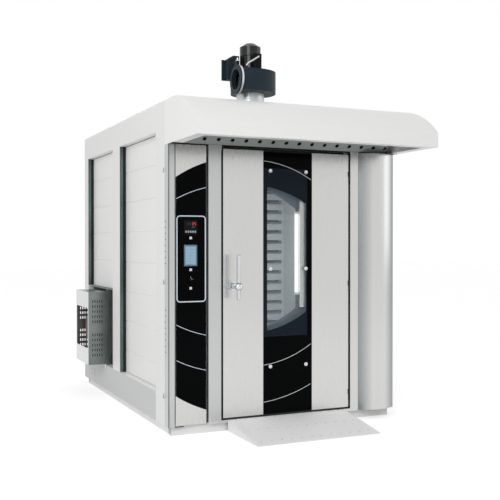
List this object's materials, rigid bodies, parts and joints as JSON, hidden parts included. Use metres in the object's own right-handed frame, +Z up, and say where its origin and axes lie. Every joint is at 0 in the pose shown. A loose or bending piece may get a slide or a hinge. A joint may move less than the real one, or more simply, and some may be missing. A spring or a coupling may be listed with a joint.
{
  "type": "rotating rack oven",
  "caption": "Bakery rack oven with a windowed swing door, curved steam hood, entry ramp, roof exhaust blower, side burner and a ceiling-hung rack rotor.",
  "frame": {"origin": "on the floor, on the axis of the rack rotor", "axes": "+X to the right seen from the front, +Y to the back, +Z up"},
  "size_m": [1.954, 3.012, 2.794],
  "materials": {
    "base_paint": "matt",
    "cement": "matt",
    "stainless": "satin brushed",
    "stainless_light": "satin, dimpled",
    "white_paint": "smooth coated",
    "hood_paint": "smooth coated",
    "galvanised": "galvanised",
    "wool": "fibrous",
    "heat_steel": "scaled by heat",
    "burner_paint": "gloss",
    "niche_paint": "matt",
    "cast": "rough",
    "motor_blue": "satin",
    "blower_grey": "satin",
    "motor_dark": "satin",
    "black_plastic": "moulded",
    "cable": "sheathed",
    "black_glass": "enamelled",
    "clear_glass": "tinted",
    "seal_rubber": "silicone",
    "lamp_glass": "frosted",
    "polished": "polished",
    "display_glass": "lit screen",
    "key_plastic": "lit key"
  },
  "bodies": {
    "cabinet": {"base_frame": "base_paint", "floor_slab": "cement", "floor_plate": "stainless", "ramp": "stainless_light", "side_frames": "white_paint", "rear_frame": "white_paint", "wall_panels": "white_paint", "left_corner_post": "white_paint", "roof_sheets": "white_paint", "hood_shell": "hood_paint", "hood_end_caps": "hood_paint", "steam_strip": "stainless", "hood_duct": "galvanised", "lintel_rail": "stainless", "strike_pillar": "stainless", "hinge_strip": "stainless", "bow_panel": "stainless", "chamber_walls": "stainless", "chamber_ceiling": "stainless", "air_grilles": "stainless", "insulation": "wool", "heat_walls": "heat_steel", "heat_exchanger": "heat_steel", "burner": "burner_paint", "burner_niche": "niche_paint", "burner_shroud": "stainless", "flue_pipe": "stainless", "steam_generator": "cast", "circulation_motor": "motor_blue", "steam_damper_duct": "galvanised", "rotor_gearmotor": "motor_blue", "blower_collar": "galvanised", "blower_scroll": "blower_grey", "blower_motor": "motor_dark", "terminal_box": "black_plastic", "motor_lead": "cable", "blower_bracket": "motor_dark", "hinge_brackets": "stainless"},
    "door": {"door_core": "galvanised", "door_skins": "stainless", "outer_glass": "black_glass", "inner_glass": "clear_glass", "glass_buttons": "polished", "door_seal": "seal_rubber", "door_lamp": "lamp_glass", "door_hinges": "stainless"},
    "handle": {"handle_bar": "polished", "handle_spindle": "polished"},
    "control_door": {"control_tray": "stainless", "control_glass": "black_glass", "controller": "black_plastic", "touch_display": "display_glass"},
    "upper_key": {"upper_key": "key_plastic"},
    "middle_key": {"middle_key": "key_plastic"},
    "lower_key": {"lower_key": "key_plastic"},
    "selector": {"selector": "black_plastic"},
    "rack_rotor": {"rack_rotor": "stainless"},
    "blower_impeller": {"blower_impeller": "galvanised"},
    "circulation_impeller": {"circulation_impeller": "stainless"},
    "steam_damper_blade": {"steam_damper_blade": "stainless"}
  },
  "joints": [
    {"name": "door_swing", "type": "hinge", "parent": "cabinet", "child": "door", "pos_m": [0.515, -0.769, 1.028], "axis": [0, 0, 1], "range_deg": [0, 110]},
    {"name": "handle_turn", "type": "hinge", "parent": "door", "child": "handle", "pos_m": [-0.428, -0.769, 1.012], "axis": [0, -1, 0], "range_deg": [0, 90]},
    {"name": "control_door_swing", "type": "hinge", "parent": "cabinet", "child": "control_door", "pos_m": [-0.84, -0.761, 1.028], "axis": [0, 0, -1], "range_deg": [0, 100]},
    {"name": "upper_key_press", "type": "slide", "parent": "control_door", "child": "upper_key", "axis": [0, 1, 0], "range_m": [0, 0.003], "stiffness_N_per_m": 600},
    {"name": "middle_key_press", "type": "slide", "parent": "control_door", "child": "middle_key", "axis": [0, 1, 0], "range_m": [0, 0.003], "stiffness_N_per_m": 600},
    {"name": "lower_key_press", "type": "slide", "parent": "control_door", "child": "lower_key", "axis": [0, 1, 0], "range_m": [0, 0.003], "stiffness_N_per_m": 600},
    {"name": "selector_turn", "type": "hinge", "parent": "control_door", "child": "selector", "pos_m": [-0.741, -0.769, 1.064], "axis": [0, 1, 0], "range_deg": [0, 90]},
    {"name": "rotor_spin", "type": "hinge", "parent": "cabinet", "child": "rack_rotor", "pos_m": [0, 0, 1.9], "axis": [0, 0, 1], "continuous": true},
    {"name": "blower_spin", "type": "hinge", "parent": "cabinet", "child": "blower_impeller", "pos_m": [-0.145, -0.439, 2.5], "axis": [0, 0, 1], "continuous": true},
    {"name": "circulation_spin", "type": "hinge", "parent": "cabinet", "child": "circulation_impeller", "pos_m": [0, 1.1075, 1.9], "axis": [0, 0, 1], "continuous": true},
    {"name": "steam_damper_turn", "type": "hinge", "parent": "cabinet", "child": "steam_damper_blade", "pos_m": [0.49, -0.436, 2.14], "axis": [1, 0, 0], "range_deg": [0, 90]}
  ]
}
